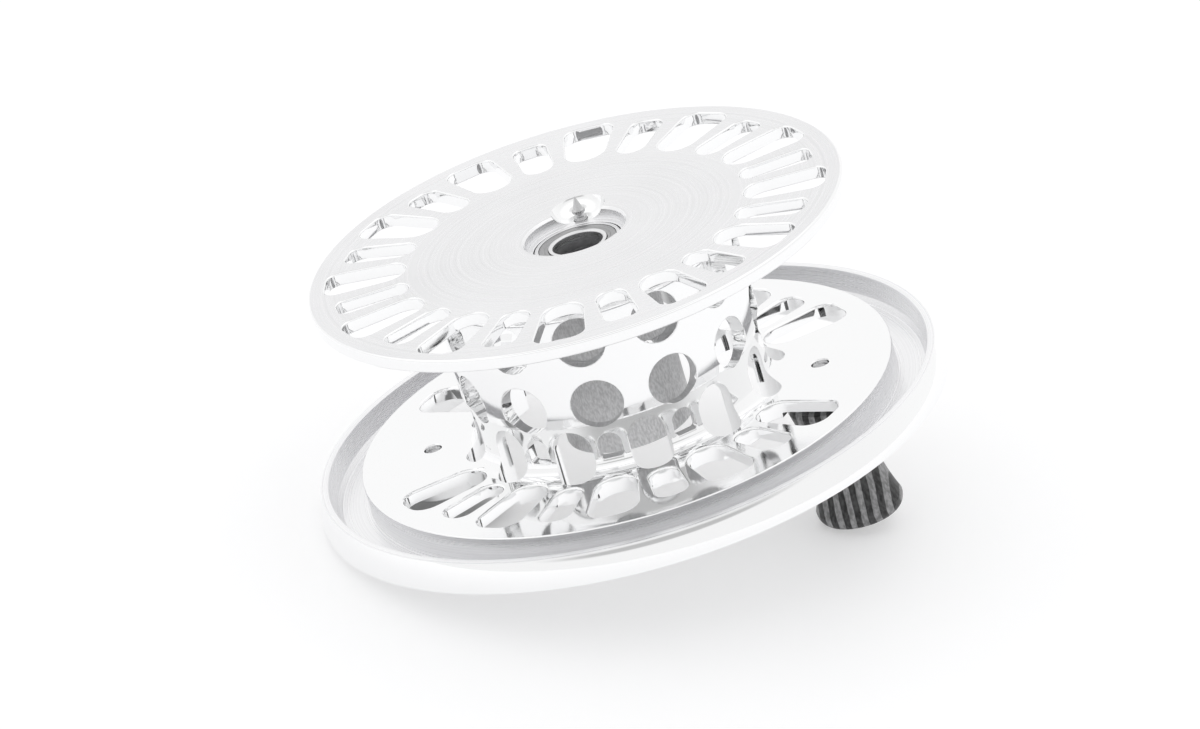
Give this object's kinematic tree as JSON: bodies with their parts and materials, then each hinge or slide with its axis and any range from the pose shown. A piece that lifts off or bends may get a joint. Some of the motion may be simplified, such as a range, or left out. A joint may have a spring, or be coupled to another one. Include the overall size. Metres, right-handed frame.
{
  "type": "fly reel spool",
  "caption": "Ported large-arbor spool of a fly-fishing reel with a palming rim, waisted crank knob, ball-bearing hub and sprung drive pin.",
  "frame": {"origin": "on the spool's axis, level with the free end of the handle knob (bottom centre of the bounding box)", "axes": "+Z along the spool's axis, from the handle side to the side that faces the reel frame; +X towards the handle; +Y towards the drive pin"},
  "size_m": [0.1014, 0.1014, 0.0593],
  "materials": {
    "spool_aluminium": "polished, rear disc finely turned",
    "hub_coat": "grey anodised, matte, finely speckled",
    "bearing_steel": "ground steel",
    "shield_steel": "satin",
    "pin_steel": "turned",
    "bush_bronze": "sintered bronze",
    "knob_laminate": "satin, thin dark and grey layers",
    "washer_nylon": "matte"
  },
  "bodies": {
    "spool": {"spool_body": "spool_aluminium", "hub_insert": "hub_coat", "rear_bearing_outer_ring": "bearing_steel", "rear_bearing_upper_shield": "shield_steel", "rear_bearing_lower_shield": "shield_steel", "front_bearing_outer_ring": "bearing_steel", "front_bearing_upper_shield": "shield_steel", "front_bearing_lower_shield": "shield_steel", "handle_post": "pin_steel", "handle_washer": "washer_nylon", "handle_screw": "pin_steel", "counterweight": "spool_aluminium", "counterweight_screw": "pin_steel", "pin_spring": "pin_steel"},
    "spindle_race": {"rear_bearing_inner_ring": "bearing_steel", "front_bearing_inner_ring": "bearing_steel", "bearing_spacer": "bearing_steel"},
    "rear_ball_train": {"rear_bearing_cage": "bush_bronze", "rear_bearing_ball_1": "bearing_steel", "rear_bearing_ball_2": "bearing_steel", "rear_bearing_ball_3": "bearing_steel", "rear_bearing_ball_4": "bearing_steel", "rear_bearing_ball_5": "bearing_steel", "rear_bearing_ball_6": "bearing_steel", "rear_bearing_ball_7": "bearing_steel"},
    "front_ball_train": {"front_bearing_cage": "bush_bronze", "front_bearing_ball_1": "bearing_steel", "front_bearing_ball_2": "bearing_steel", "front_bearing_ball_3": "bearing_steel", "front_bearing_ball_4": "bearing_steel", "front_bearing_ball_5": "bearing_steel", "front_bearing_ball_6": "bearing_steel", "front_bearing_ball_7": "bearing_steel"},
    "knob": {"handle_knob": "knob_laminate", "upper_knob_bush": "bush_bronze", "lower_knob_bush": "bush_bronze"},
    "pin": {"drive_pin": "pin_steel"}
  },
  "joints": [
    {"name": "knob_spin", "type": "hinge", "parent": "spool", "child": "knob", "pos_m": [0.0314, 0, 0.011], "axis": [0, 0, 1], "continuous": true},
    {"name": "spindle_spin", "type": "hinge", "parent": "spool", "child": "spindle_race", "pos_m": [0, 0, 0.0396], "axis": [0, 0, 1], "continuous": true},
    {"name": "rear_ball_train_spin", "type": "hinge", "parent": "spool", "child": "rear_ball_train", "pos_m": [0, 0, 0.0534], "axis": [0, 0, 1], "continuous": true},
    {"name": "front_ball_train_spin", "type": "hinge", "parent": "spool", "child": "front_ball_train", "pos_m": [0, 0, 0.0257], "axis": [0, 0, 1], "continuous": true},
    {"name": "pin_slide", "type": "slide", "parent": "spool", "child": "pin", "axis": [0, 0, 1], "range_m": [-0.0021, 0], "stiffness_N_per_m": 60, "springref_m": 0.004, "deforming": ["pin_spring"]}
  ],
  "couplings": [
    {"joint": "rear_ball_train_spin", "follows": "spindle_spin", "ratio": 0.411},
    {"joint": "front_ball_train_spin", "follows": "spindle_spin", "ratio": 0.411}
  ]
}
